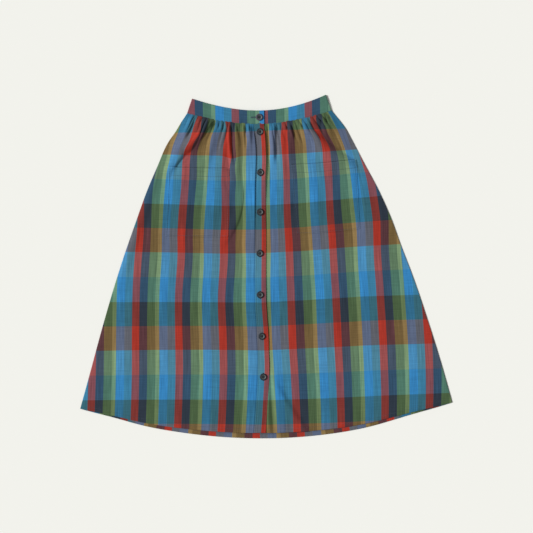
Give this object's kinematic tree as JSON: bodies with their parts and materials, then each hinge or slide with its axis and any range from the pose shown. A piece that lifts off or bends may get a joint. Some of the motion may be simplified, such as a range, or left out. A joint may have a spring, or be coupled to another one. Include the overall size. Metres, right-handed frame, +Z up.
{
  "type": "button-front gathered midi skirt",
  "caption": "Gathered A-line midi skirt laid flat, with a waistband, a buttoned front placket and two patch pockets.",
  "frame": {"origin": "on the surface the skirt lies on, below the middle of its outline", "axes": "+X across the hem to the viewer's right, +Y up the skirt to the waist, +Z up from the surface"},
  "size_m": [0.911, 0.8379, 0.0155],
  "materials": {
    "madras_cotton": "matte woven check",
    "button": "dark, softly polished"
  },
  "bodies": {
    "root": {"back": "madras_cotton", "front_left": "madras_cotton", "front_right": "madras_cotton", "placket_left": "madras_cotton", "placket_right": "madras_cotton", "waistband": "madras_cotton", "pocket_left": "madras_cotton", "pocket_right": "madras_cotton", "button_1": "button", "button_2": "button", "button_3": "button", "button_4": "button", "button_5": "button", "button_6": "button", "button_7": "button", "button_8": "button"}
  },
  "joints": []
}
